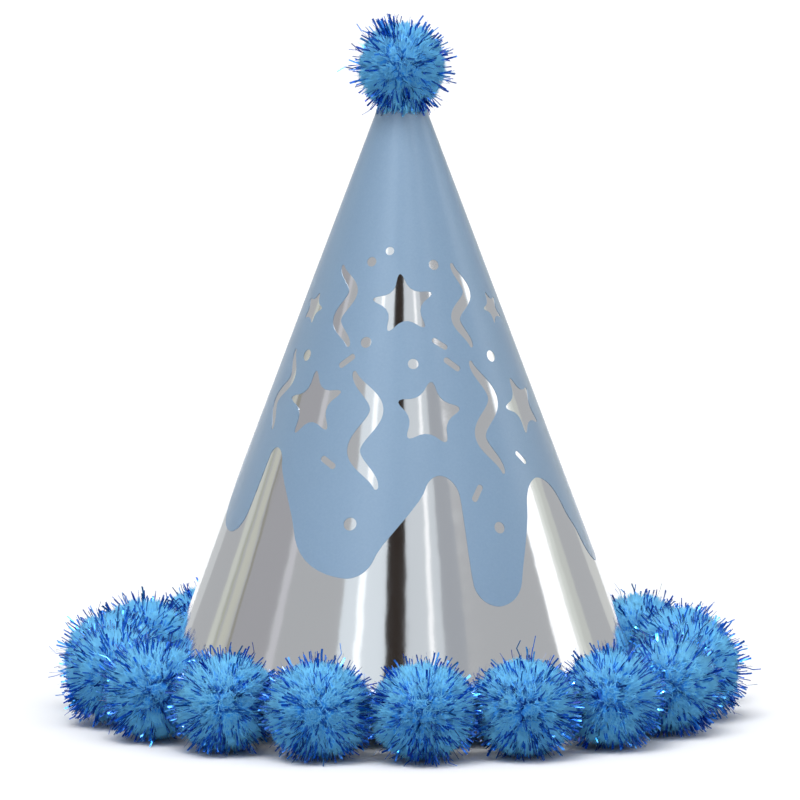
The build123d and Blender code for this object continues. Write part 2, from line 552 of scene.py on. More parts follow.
@dataclass(frozen=True)
class ConeForm:
    """The shape of the rolled card, in metres. Angles are in degrees from the front towards +X."""

    rim_radius: float
    rim_height: float = 12.0 * MM
    point_rise: float = 192.6 * MM
    card: float = 0.45 * MM
    film: float = 0.10 * MM
    tip_radius: float = 3.2 * MM
    lap_width: float = 11.0 * MM
    joggle_width: float = 1.6 * MM
    edge_gap: float = 0.4 * MM
    seam_centre: float = 174.0
    oval: float = 0.16 * MM
    crease_depth: float = 0.035 * MM
    crease_width: float = 0.55
    creases: tuple[float, ...] = (-52.0, -46.5, -43.0, -30.0, 96.0, 131.0, -118.0)

    @classmethod
    def from_frame(cls) -> "ConeForm":
        """Take the rim's size from the CAD card."""
        low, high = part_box("cone_card")
        return cls(rim_radius=(high[0] - low[0]) / 2)

    @property
    def slope(self) -> float:
        """Radius lost for each unit of height."""
        return self.rim_radius / self.point_rise

    @property
    def out(self) -> float:
        """The outward share of the card's normal."""
        return 1 / math.hypot(1, self.slope)

    @property
    def up(self) -> float:
        """The upward share of the card's normal."""
        return self.slope * self.out

    @property
    def slant(self) -> float:
        """From the rim to the point where the outer face would close."""
        return math.hypot(self.rim_radius, self.point_rise)

    @property
    def tip_rise(self) -> float:
        """From the rim to the open tip, along the slant."""
        return self.slant - self.tip_radius / self.up

    @property
    def point_height(self) -> float:
        """The height at which the outer face would close."""
        return self.rim_height + self.point_rise

    @property
    def lap_angle(self) -> float:
        """The lap's width as an angle."""
        return math.degrees(self.lap_width / self.rim_radius)

    @property
    def free_edge(self) -> float:
        """Where the sheet starts, under the lap."""
        return self.seam_centre - self.lap_angle / 2

    def lift(self, turned: np.ndarray) -> np.ndarray:
        """Return how far the sheet stands off the cone in its lap.

        Args:
            turned: Degrees from the free edge under the lap.

        Returns:
            The distance off the cone for each.
        """
        start = 360 - math.degrees(self.joggle_width / self.rim_radius)
        end = 360 - math.degrees(self.edge_gap / self.rim_radius)
        share = np.clip((turned - start) / (end - start), 0, 1)
        return (self.card + self.film) * share * share * (3 - 2 * share)

    def waviness(self, turned: np.ndarray, rise: np.ndarray) -> np.ndarray:
        """Return the small unevenness of hand-rolled card: slightly oval, with faint bend lines.

        Args:
            turned: Degrees from the free edge under the lap.
            rise: Distance from the rim, along the slant.

        Returns:
            The distance off the true cone for each.
        """
        angle = np.radians(turned + self.free_edge)
        share = 1 - rise / self.slant
        wave = self.oval * np.sin(2 * angle + 0.6) + 0.25 * self.oval * np.sin(5 * angle + 2.1)
        for number, place in enumerate(self.creases):
            away = (turned + self.free_edge - place + 180) % 360 - 180
            drift = 1.2 * np.sin(9 * share + 2.3 * number)
            wave = wave + self.crease_depth * np.exp(-(((away - drift) / self.crease_width) ** 2))
        return wave * np.clip(share * 1.6, 0, 1)

    def place(self, turned: np.ndarray, rise: np.ndarray, offset: np.ndarray | float) -> np.ndarray:
        """Return points of the sheet.

        Args:
            turned: Degrees from the free edge under the lap.
            rise: Distance from the rim, along the slant.
            offset: Distance out from the sheet's outer face.

        Returns:
            One place a row.
        """
        stand = offset + self.lift(turned) + self.waviness(turned, rise)
        angle = np.radians(turned + self.free_edge)
        reach = self.rim_radius - rise * self.up + stand * self.out
        height = self.rim_height + rise * self.out + stand * self.up
        return np.stack([reach * np.sin(angle), -reach * np.cos(angle), height], -1)

    def wall_radius(self, height: np.ndarray) -> np.ndarray:
        """Return the outer face's radius at a height."""
        return np.maximum(self.point_height - height, 0) * self.slope

    def flat(self, turned: np.ndarray, rise: np.ndarray) -> np.ndarray:
        """Unroll points of the sheet to the plane, with the front straight down.

        Args:
            turned: Degrees from the free edge under the lap.
            rise: Distance from the rim, along the slant.

        Returns:
            Places in the plane, in millimetres.
        """
        turn = np.radians(turned + self.free_edge - 360) * self.up
        reach = (self.slant - rise) / MM
        return np.stack([reach * np.sin(turn), -reach * np.cos(turn)], -1)

    def rolled(self, flat: np.ndarray) -> tuple[np.ndarray, np.ndarray]:
        """Roll points of the plane up again, to degrees from the free edge and rise."""
        turn = np.arctan2(flat[:, 0], -flat[:, 1]) / self.up
        return np.degrees(turn) + 360 - self.free_edge, self.slant - np.hypot(flat[:, 0], flat[:, 1]) * MM


@dataclass
class FoilCard:
    """The rolled sheet: foil outside, white board inside, one lap behind and two punched holes."""

    form: ConeForm
    columns: int = 300
    rows: int = 72
    hole_radius: float = 1.5 * MM
    hole_rise: float = 11.0 * MM
    hole_angles: tuple[float, float] = (94.0, 274.0)
    hole_sides: int = 40
    cutter_length: float = 4.0 * MM
    step_zone: tuple[float, float] = (357.5, 361.0)
    step_columns: int = 22

    def _grid(self) -> tuple[np.ndarray, np.ndarray]:
        """Lay out the sheet's grid, finest at the step of the lap.

        Returns:
            The angles turned from the free edge, and the rises.
        """
        end = 360 + self.form.lap_angle
        step = np.linspace(*self.step_zone, self.step_columns)
        turned = np.unique(np.concatenate([np.linspace(0, end, self.columns), step]))
        rise = np.linspace(0, self.form.tip_rise, self.rows)
        return np.meshgrid(turned, rise, indexing="ij")

    def build(self) -> None:
        """Build the sheet with its thickness, and punch the cord holes."""
        turned, rise = self._grid()
        wide, tall = turned.shape
        outer = self.form.place(turned, rise, 0.0).reshape(-1, 3)
        inner = self.form.place(turned, rise, -self.form.card).reshape(-1, 3)
        number = np.arange(wide * tall).reshape(wide, tall)
        corner = [number[:-1, :-1], number[1:, :-1], number[1:, 1:], number[:-1, 1:]]
        a, b, c, d = (part.ravel() for part in corner)
        face = np.concatenate([np.stack([a, b, c], 1), np.stack([a, c, d], 1)])
        back = face[:, ::-1] + wide * tall
        loops = [number[:, 0], number[-1, :], number[::-1, -1], number[0, ::-1]]
        edge = np.concatenate([self._strip(loop, wide * tall) for loop in loops])
        flat = self.form.flat(turned, rise).reshape(-1, 2)
        low = flat.min(0)
        size = (flat.max(0) - low).max() * MAP_MARGIN
        uv = np.concatenate([(flat - low) / size, (flat - low) / size + [0.0, 0.5]])
        points, triangles = np.concatenate([outer, inner]), np.concatenate([face, back, edge])
        mesh = triangle_mesh("card_sheet", points, triangles, uv)
        mesh.materials.append(FoilFinish().material())
        mesh.materials.append(BoardFinish().material())
        which = np.repeat([0, 1], [len(face), len(back) + len(edge)]).astype(np.int32)
        mesh.polygons.foreach_set("material_index", which)
        piece = add_piece(mesh, "cone_card")
        self._punch(piece)
        piece.data.set_sharp_from_angle(angle=SHARP_ANGLE)

    @staticmethod
    def _strip(loop: np.ndarray, shift: int) -> np.ndarray:
        """Return the triangles that close the sheet's edge along a run of outer vertices."""
        a, b = loop[:-1], loop[1:]
        return np.concatenate([np.stack([b, a, a + shift], 1), np.stack([b, a + shift, b + shift], 1)])

    def _punch(self, piece: bpy.types.Object) -> None:
        """Cut the two cord holes with one cutter, and apply the cut.

        Args:
            piece: The sheet, whose mesh is replaced by the cut one.
        """
        form = self.form
        cutter = bmesh.new()
        for angle in self.hole_angles:
            turn = math.radians(angle)
            outward = Vector((form.out * math.sin(turn), -form.out * math.cos(turn), form.up))
            reach = form.rim_radius - self.hole_rise * form.up
            height = form.rim_height + self.hole_rise * form.out
            centre = Vector((reach * math.sin(turn), -reach * math.cos(turn), height))
            place = outward.to_track_quat("Z", "Y").to_matrix().to_4x4()
            place.translation = centre
            bmesh.ops.create_cone(
                cutter, cap_ends=True, segments=self.hole_sides, radius1=self.hole_radius,
                radius2=self.hole_radius, depth=self.cutter_length, matrix=place,
            )
        mesh = bpy.data.meshes.new("punch")
        cutter.to_mesh(mesh)
        cutter.free()
        mesh.materials.append(BoardFinish().material())
        punch = bpy.data.objects.new("punch", mesh)
        bpy.context.scene.collection.objects.link(punch)
        cut = piece.modifiers.new("punch", "BOOLEAN")
        cut.operation = "DIFFERENCE"
        cut.object = punch
        cut.solver = "EXACT"
        cut.material_mode = "TRANSFER"
        graph = bpy.context.evaluated_depsgraph_get()
        made = bpy.data.meshes.new_from_object(piece.evaluated_get(graph))
        piece.modifiers.clear()
        piece.data = made
        bpy.data.objects.remove(punch)


# ---------------------------------------------------------------- the printed icing


class Shape(Enum):
    """The plain party shapes left clear of ink."""

    STAR = "star"
    DOT = "dot"
    DASH = "dash"
    RIBBON = "ribbon"


@dataclass(frozen=True)
class Motif:
    """One clear shape in the print: where it is and how large, in degrees and millimetres."""

    shape: Shape
    angle: float
    rise: float
    size: float
    turn: float = 0.0
    arm_unevenness: float = 0.06
    inner_reach: float = 0.43
    dash_slimness: float = 0.32
    ribbon_wave: tuple[float, float] = (0.19, 4.7)
    ribbon_width: tuple[float, float] = (0.45, 0.095)
    corner_cut: float = 0.22

    def outline(self) -> np.ndarray:
        """Draw the shape about its own centre.

        Returns:
            Its outline in millimetres, x right and y up.
        """
        made = {
            Shape.STAR: self._star, Shape.DOT: self._dot, Shape.DASH: self._dash, Shape.RIBBON: self._ribbon,
        }[self.shape]()
        turn = math.radians(self.turn)
        spin = np.array([[math.cos(turn), math.sin(turn)], [-math.sin(turn), math.cos(turn)]])
        return made @ spin

    def _star(self) -> np.ndarray:
        """Draw a five-pointed star with soft tips, its arms uneven as if brushed.

        Returns:
            Its outline.
        """
        corner = np.arange(10)
        angle = np.pi / 2 + corner * np.pi / 5
        uneven = 1 + self.arm_unevenness * np.sin(3.1 * corner + self.angle)
        reach = np.where(corner % 2 == 0, 1.0, self.inner_reach) * uneven * self.size
        return self._soften(np.stack([reach * np.cos(angle), reach * np.sin(angle)], 1), 2)

    def _dot(self) -> np.ndarray:
        """Draw a round dot."""
        angle = np.arange(24) * np.pi / 12
        return self.size * np.stack([np.cos(angle), np.sin(angle)], 1)

    def _dash(self) -> np.ndarray:
        """Draw a short bar with round ends.

        Returns:
            Its outline.
        """
        half, side = self.size, self.size * self.dash_slimness
        turn = np.linspace(-np.pi / 2, np.pi / 2, 9)
        cap = np.stack([half - side + side * np.cos(turn), side * np.sin(turn)], 1)
        return np.concatenate([cap, -cap])

    def _ribbon(self) -> np.ndarray:
        """Draw a waving streamer, broad in the middle and narrow at its ends.

        Returns:
            Its outline.
        """
        along = np.linspace(-1, 1, 41)
        swing, turns = self.ribbon_wave
        narrow, broad = self.ribbon_width
        wave = swing * self.size * np.sin(along * turns)
        half = narrow + broad * self.size * np.clip(1 - along**2, 0, 1) ** 0.7
        centre = np.stack([wave, along * self.size], 1)
        ahead = unit(np.gradient(centre, axis=0))
        side = np.stack([ahead[:, 1], -ahead[:, 0]], 1) * half[:, None]
        return self._soften(np.concatenate([centre + side, (centre - side)[::-1]]), 1)

    def _soften(self, points: np.ndarray, times: int) -> np.ndarray:
        """Round a closed outline by cutting its corners.

        Args:
            points: The outline.
            times: How often its corners are cut.

        Returns:
            The softer outline.
        """
        near, far = self.corner_cut, 1 - self.corner_cut
        for _ in range(times):
            ahead = np.roll(points, -1, 0)
            points = np.stack([far * points + near * ahead, near * points + far * ahead], 1).reshape(-1, 2)
        return points


@dataclass(frozen=True)
class Turn:
    """A turning point of the icing's lower edge: the crest of an arch or the end of a drip.

    angle is in degrees and rise in millimetres. side is the angle of the straight side that follows, and
    slant is how much farther round the side's upper end lies than its lower end.
    """

    angle: float
    rise: float
    side: float
    slant: float = 0.0


@dataclass
class IcingPrint:
    """The blue print: solid from the point down, ending in drips, with clear party shapes.

    skin is the distance of the ink's two faces from the foil. Steps, margins and rises are in millimetres
    and step_angle and bare_edge in degrees.
    """

    form: ConeForm
    skin: tuple[float, float] = (0.04 * MM, 0.11 * MM)
    roundness: float = 1.25
    step_angle: float = 2.0
    step_rise: float = 5.0
    bare_edge: float = 0.15
    side_step: float = 6.0
    side_start: float = 4.0
    top_margin: float = 1.0
    inner_from: float = 22.0
    inner_margin: float = 2.0
    smoothings: int = 3
    turns: tuple[Turn, ...] = (
        Turn(-168.0, 72.0, -158.0, -4.0), Turn(-148.0, 45.0, -139.0, 5.0),
        Turn(-130.0, 78.0, -121.0), Turn(-111.0, 37.0, -101.0, 4.0),
        Turn(-94.0, 72.0, -87.0, -4.0), Turn(-70.0, 50.0, -60.5, 1.8),
        Turn(-56.0, 78.4, -44.0, -12.0), Turn(-16.6, 40.2, 0.0, 15.0),
        Turn(13.6, 72.0, 20.7), Turn(28.2, 31.0, 42.0, 8.0),
        Turn(56.0, 68.8, 71.0, -4.0), Turn(85.0, 38.5, 98.0, 6.0),
        Turn(108.0, 74.0, 117.0), Turn(127.0, 52.0, 137.0, 4.0),
        Turn(146.0, 66.0, 154.0, -3.0), Turn(168.0, 33.0, 182.0, 4.0),
    )
    front: tuple[Motif, ...] = (
        Motif(Shape.RIBBON, -36.0, 124.0, 13.0, 8.0), Motif(Shape.STAR, 1.0, 125.0, 10.5, 6.0),
        Motif(Shape.RIBBON, 38.0, 124.0, 13.0, -10.0), Motif(Shape.DOT, -22.0, 138.0, 1.5),
        Motif(Shape.DOT, 23.0, 137.0, 1.6), Motif(Shape.DOT, -19.0, 113.0, 1.7),
        Motif(Shape.DASH, 20.0, 112.5, 2.7, -35.0), Motif(Shape.DOT, -9.0, 141.5, 1.3),
        Motif(Shape.STAR, -64.0, 122.0, 6.0, -12.0), Motif(Shape.STAR, 66.0, 122.0, 6.0, 15.0),
        Motif(Shape.RIBBON, -66.0, 96.0, 12.5, -6.0), Motif(Shape.STAR, -42.0, 93.0, 11.5, 10.0),
        Motif(Shape.RIBBON, -15.0, 86.0, 18.5, 5.0), Motif(Shape.STAR, 11.5, 91.0, 12.0, -8.0),
        Motif(Shape.RIBBON, 38.0, 89.0, 17.5, -6.0), Motif(Shape.STAR, 63.0, 91.0, 10.5, 14.0),
        Motif(Shape.DASH, -28.0, 107.0, 3.0, 40.0), Motif(Shape.DOT, -55.0, 107.5, 1.8),
        Motif(Shape.DOT, 5.5, 106.5, 1.6), Motif(Shape.DASH, 25.0, 106.0, 3.0, -40.0),
        Motif(Shape.DOT, 50.0, 107.5, 1.8), Motif(Shape.DASH, -28.5, 75.5, 3.0, -30.0),
        Motif(Shape.DOT, -17.0, 57.0, 2.0), Motif(Shape.DASH, 27.0, 66.0, 3.0, 55.0),
        Motif(Shape.DOT, 33.0, 55.0, 1.8), Motif(Shape.DASH, 50.5, 75.5, 2.6, -50.0),
    )
    behind: tuple[Motif, ...] = (
        Motif(Shape.STAR, -22.0, 122.0, 8.0, 10.0), Motif(Shape.RIBBON, 12.0, 122.0, 12.0, -8.0),
        Motif(Shape.RIBBON, -26.0, 95.0, 12.0, 8.0), Motif(Shape.STAR, 2.0, 94.0, 10.5, -6.0),
        Motif(Shape.RIBBON, 27.0, 96.0, 12.5, 6.0), Motif(Shape.DOT, -8.0, 137.0, 1.5),
        Motif(Shape.DASH, -9.0, 108.0, 2.8, 35.0), Motif(Shape.DOT, 20.0, 107.5, 1.7),
    )
    behind_centres: tuple[float, float] = (124.0, -124.0)

    def motifs(self) -> list[Motif]:
        """Return every clear shape, the group behind repeated on both sides of the lap."""
        behind = [replace(m, angle=m.angle + centre) for centre in self.behind_centres for m in self.behind]
        return [*self.front, *behind]

    @staticmethod
    def _quarter(start: tuple[float, float], end: tuple[float, float], steep_first: bool) -> list:
        """Return a quarter of an ellipse from one point of the edge to another.

        Args:
            start: Where it starts, as an angle and a rise.
            end: Where it ends.
            steep_first: Whether it starts along the slant and ends level, and not the other way round.

        Returns:
            Its points.
        """
        swing = np.linspace(0, np.pi / 2, 12)
        gone, risen = np.sin(swing), 1 - np.cos(swing)
        if steep_first:
            gone, risen = risen, gone
        return [
            (start[0] + (end[0] - start[0]) * x, start[1] + (end[1] - start[1]) * y)
            for x, y in zip(gone, risen)
        ]

    def edge_line(self) -> np.ndarray:
        """Draw the icing's lower edge once round and as much again on both sides.

        Returns:
            Angles from the front, and rises in millimetres.
        """
        ahead = self.turns[1:] + (Turn(self.turns[0].angle + 360, self.turns[0].rise, 0.0),)
        line: list[tuple[float, float]] = []
        for turn, following in zip(self.turns, ahead):
            fall = following.rise - turn.rise
            way = math.copysign(1.0, fall)
            begins, ends = turn.side - way * turn.slant / 2, turn.side + way * turn.slant / 2
            reach_mm = self.form.slant / MM - (turn.rise + following.rise) / 2
            arc_mm = math.radians(1.0) * reach_mm * self.form.up
            first = min(abs(fall) / 2, self.roundness * (begins - turn.angle) * arc_mm)
            last = min(abs(fall) / 2, self.roundness * (following.angle - ends) * arc_mm)
            line += self._quarter((turn.angle, turn.rise), (begins, turn.rise + way * first), False)
            landing = (ends, following.rise - way * last)
            line += self._quarter(landing, (following.angle, following.rise), True)
        once = np.array(line)
        line = np.concatenate([once[:-1] - [360, 0], once[:-1], once + [360, 0]])
        for _ in range(self.smoothings):
            line[1:-1] = 0.25 * line[:-2] + 0.5 * line[1:-1] + 0.25 * line[2:]
        return line

    def _outline(self) -> np.ndarray:
        """Draw the whole print, from one side of the lap round to the other.

        Returns:
            Its outline in the unrolled plane.
        """
        start = self.form.free_edge + self.form.lap_angle - 360 + self.bare_edge
        end = start + 360 - 2 * self.bare_edge
        line = self.edge_line()
        keep = line[(line[:, 0] > start) & (line[:, 0] < end)]
        at_start = np.interp([start], line[:, 0], line[:, 1])[0]
        at_end = np.interp([end], line[:, 0], line[:, 1])[0]
        top = self.form.tip_rise / MM - self.top_margin
        side = np.arange(at_end + self.side_start, top, self.side_step)
        other = np.arange(at_start + self.side_start, top, self.side_step)[::-1]
        around = np.arange(end, start, -self.step_angle * 2)
        parts = [
            [(start, at_start)], keep, [(end, at_end)], np.stack([np.full(len(side), end), side], 1),
            np.stack([around, np.full(len(around), top)], 1), [(start, top)],
            np.stack([np.full(len(other), start), other], 1),
        ]
        line = np.concatenate([np.array(part).reshape(-1, 2) for part in parts])
        return self._to_plane(line[:, 0], line[:, 1])

    def _to_plane(self, angle: np.ndarray, rise_mm: np.ndarray) -> np.ndarray:
        """Unroll angles from the front and rises in millimetres to the plane."""
        return self.form.flat(angle + 360 - self.form.free_edge, rise_mm * MM)

    def _motif_outline(self, motif: Motif) -> np.ndarray:
        """Lay a clear shape out in the unrolled plane.

        Args:
            motif: The shape.

        Returns:
            Its outline there.
        """
        centre = self._to_plane(np.array([motif.angle]), np.array([motif.rise]))[0]
        turn = math.radians(motif.angle) * self.form.up
        right = np.array([math.cos(turn), math.sin(turn)])
        up = np.array([-math.sin(turn), math.cos(turn)])
        shape = motif.outline()
        return centre + shape[:, :1] * right + shape[:, 1:] * up

    @staticmethod
    def inside(points: np.ndarray, outline: np.ndarray) -> np.ndarray:
        """Tell which points lie inside an outline, by counting the edges that each one's ray crosses.

        Args:
            points: The points, one a row.
            outline: The corners of a closed outline.

        Returns:
            True or false for each point.
        """
        low, high = outline.min(0), outline.max(0)
        near = np.all((points > low) & (points < high), axis=1)
        found = np.zeros(len(points), bool)
        some = points[near]
        odd = np.zeros(len(some), bool)
        for (ax, ay), (bx, by) in zip(outline, np.roll(outline, -1, 0)):
            if ay == by:
                continue
            crosses = (some[:, 1] >= min(ay, by)) & (some[:, 1] < max(ay, by))
            odd ^= crosses & (some[:, 0] < ax + (some[:, 1] - ay) * (bx - ax) / (by - ay))
        found[near] = odd
        return found

    def _printed(self, points: np.ndarray, outline: np.ndarray, holes: list[np.ndarray]) -> np.ndarray:
        """Tell which points of the plane are inked.

        Args:
            points: The points, one a row.
            outline: The print's outline.
            holes: The outlines of the clear shapes.

        Returns:
            True or false for each point.
        """
        keep = self.inside(points, outline)
        for hole in holes:
            keep &= ~self.inside(points, hole)
        return keep

    def build(self) -> None:
        """Cut the print out of the unrolled plane, and roll it onto the cone as a thin skin."""
        outline = self._outline()
        holes = [self._motif_outline(motif) for motif in self.motifs()]
        angle, rise = np.meshgrid(
            np.arange(-180.0, 178.0, self.step_angle),
            np.arange(self.inner_from, self.form.tip_rise / MM - self.inner_margin, self.step_rise),
        )
        spread = self._to_plane(angle.ravel(), rise.ravel())
        keep = self._printed(spread, outline, holes)
        points, edges = [spread[keep]], []
        count = int(keep.sum())
        for loop in (outline, *holes):
            numbers = np.arange(len(loop)) + count
            edges += [(int(a), int(b)) for a, b in zip(numbers, np.roll(numbers, -1))]
            points.append(loop)
            count += len(loop)
        flat = [Vector(point) for point in np.concatenate(points)]
        made = delaunay_2d_cdt(flat, edges, [], 0, 1e-5, False)
        place = np.array([tuple(point) for point in made[0]])
        face = np.array(made[2])
        self._roll(place, face[self._printed(place[face].mean(1), outline, holes)])

    def _roll(self, place: np.ndarray, face: np.ndarray) -> None:
        """Roll flat triangles onto the cone, give them thickness and close their edges.

        Args:
            place: Places in the unrolled plane.
            face: Triangles between them.
        """
        used, face = np.unique(face, return_inverse=True)
        face = face.reshape(-1, 3)
        place = place[used]
        turned, rise = self.form.rolled(place)
        low = self.form.place(turned, rise, self.skin[0])
        high = self.form.place(turned, rise, self.skin[1])
        a, b, c = high[face[:, 0]], high[face[:, 1]], high[face[:, 2]]
        facing = np.einsum("ij,ij->i", np.cross(b - a, c - a), a * [1, 1, 0])
        face[facing < 0] = face[facing < 0][:, ::-1]
        side = np.concatenate([face[:, [0, 1]], face[:, [1, 2]], face[:, [2, 0]]])
        key = np.sort(side, 1)
        _, first, times = np.unique(key, axis=0, return_index=True, return_counts=True)
        rim = side[first[times == 1]]
        shift = len(place)
        wall = np.concatenate([
            np.stack([rim[:, 1], rim[:, 0], rim[:, 0] + shift], 1),
            np.stack([rim[:, 1], rim[:, 0] + shift, rim[:, 1] + shift], 1),
        ])
        size = (place.max(0) - place.min(0)).max() * MAP_MARGIN
        uv = (place - place.min(0)) / size
        mesh = triangle_mesh(
            "icing_print", np.concatenate([high, low]),
            np.concatenate([face, face[:, ::-1] + shift, wall]), np.concatenate([uv, uv + [0.0, 0.5]]),
        )
        mesh.set_sharp_from_angle(angle=SHARP_ANGLE)
        mesh.materials.append(InkFinish().material())
        add_piece(mesh, "cone_card")


# ---------------------------------------------------------------- the pom-poms


def ball_template(divisions: int) -> tuple[np.ndarray, np.ndarray]:
    """Return the directions and triangles of an even ball.

    Args:
        divisions: How often the first twenty faces are divided.

    Returns:
        Unit directions, and triangles.
    """
    made = bmesh.new()
    bmesh.ops.create_icosphere(made, subdivisions=divisions, radius=1.0)
    points = np.array([tuple(vertex.co) for vertex in made.verts])
    faces = np.array([[vertex.index for vertex in face.verts] for face in made.faces])
    made.free()
    return unit(points), faces


def across(ahead: np.ndarray, seed: np.random.Generator) -> np.ndarray:
    """Return one random direction square to each direction given."""
    other = seed.normal(size=ahead.shape)
    return unit(other - (other * ahead).sum(-1, keepdims=True) * ahead)


@dataclass(frozen=True)
class Strands:
    """Points, triangles, map places and shading directions of many like strands."""

    points: np.ndarray
    triangles: np.ndarray
    uv: np.ndarray
    normals: np.ndarray

    @classmethod
    def fibres(
        cls, centres: np.ndarray, radii: np.ndarray, aside: np.ndarray, shade: np.ndarray
    ) -> "Strands":
        """Make pointed three-sided fibres.

        Args:
            centres: For each fibre, the middle of each ring and then its end point.
            radii: For each fibre, each ring's radius.
            aside: For each fibre, a direction square to it.
            shade: For each fibre, its place across the map.

        Returns:
            The strands.
        """
        count, rings = radii.shape
        ahead = unit(centres[:, -1] - centres[:, 0])
        other = np.cross(ahead, aside)
        turns = np.arange(3) * 2 * np.pi / 3
        spokes = np.stack([math.cos(turn) * aside + math.sin(turn) * other for turn in turns], 1)
        ring = centres[:, :-1, None] + spokes[:, None] * radii[:, :, None, None]
        points = np.concatenate([ring.reshape(count, -1, 3), centres[:, -1:]], 1)
        facing = np.concatenate([np.tile(spokes, (1, rings, 1)), ahead[:, None]], 1)
        own = [(2, 1, 0)]
        for level in range(rings - 1):
            own += cls._sleeve(3, 3 * level)
        top = 3 * (rings - 1)
        own += [(top + side, top + (side + 1) % 3, top + 3) for side in range(3)]
        # Roots sit low on the plush ramp, in its painted shade; the ends sit at its lighter top.
        along = np.append(np.repeat(np.linspace(0.05, 0.8, rings), 3), 1.0)
        return cls._number(points, own, along, shade, facing)

    @classmethod
    def ribbons(
        cls, centres: np.ndarray, side: np.ndarray, thick: np.ndarray, shade: np.ndarray
    ) -> "Strands":
        """Make flat strips with square ends.

        Args:
            centres: For each strip, the middle of each ring.
            side: For each ring, the way across the strip, as long as half its width.
            thick: For each ring, the way through the film, as long as half its thickness.
            shade: For each strip, its place across the map.

        Returns:
            The strands.
        """
        count, rings = centres.shape[:2]
        corners = [side + thick, thick - side, -side - thick, side - thick]
        points = np.stack([centres + corner for corner in corners], 2).reshape(count, -1, 3)
        facing = unit(np.stack([thick, thick, -thick, -thick], 2)).reshape(count, -1, 3)
        own = [(2, 1, 0), (3, 2, 0)]
        for level in range(rings - 1):
            own += cls._sleeve(4, 4 * level)
        top = 4 * (rings - 1)
        own += [(top, top + 1, top + 2), (top, top + 2, top + 3)]
        return cls._number(points, own, np.repeat(np.linspace(0.02, 0.98, rings), 4), shade, facing)

    @staticmethod
    def _sleeve(sides: int, first: int) -> list[tuple[int, int, int]]:
        """Join one ring of a strand to the next with two triangles a side.

        Args:
            sides: Corners in a ring.
            first: The number of the ring's first corner.

        Returns:
            The triangles.
        """
        joined = []
        for side in range(sides):
            a, b = first + side, first + (side + 1) % sides
            joined += [(a, b, b + sides), (a, b + sides, a + sides)]
        return joined

    @classmethod
    def _number(
        cls, points: np.ndarray, own: list, along: np.ndarray, shade: np.ndarray, facing: np.ndarray
    ) -> "Strands":
        """Number the triangles of many like strands, and lay each one in its own row of the map.

        Args:
            points: For each strand, its points.
            own: The triangles of one strand.
            along: For each point of a strand, its place along the map.
            shade: For each strand, its place across the map.
            facing: For each point, its shading direction.

        Returns:
            The strands.
        """
        count, each = points.shape[:2]
        triangles = (np.arange(count)[:, None, None] * each + np.array(own)).reshape(-1, 3)
        both = np.broadcast_to(along, (count, each)), np.broadcast_to(shade[:, None], (count, each))
        uv = np.stack(both, -1)
        return cls(points.reshape(-1, 3), triangles, uv.reshape(-1, 2), facing.reshape(-1, 3))

    @classmethod
    def together(cls, first: "Strands", second: "Strands") -> "Strands":
        """Put two sets of strands in one.

        Args:
            first: One set.
            second: The other, whose triangles are numbered on from the first one's points.

        Returns:
            Both.
        """
        return cls(
            np.concatenate([first.points, second.points]),
            np.concatenate([first.triangles, second.triangles + len(first.points)]),
            np.concatenate([first.uv, second.uv]),
            np.concatenate([first.normals, second.normals]),
        )


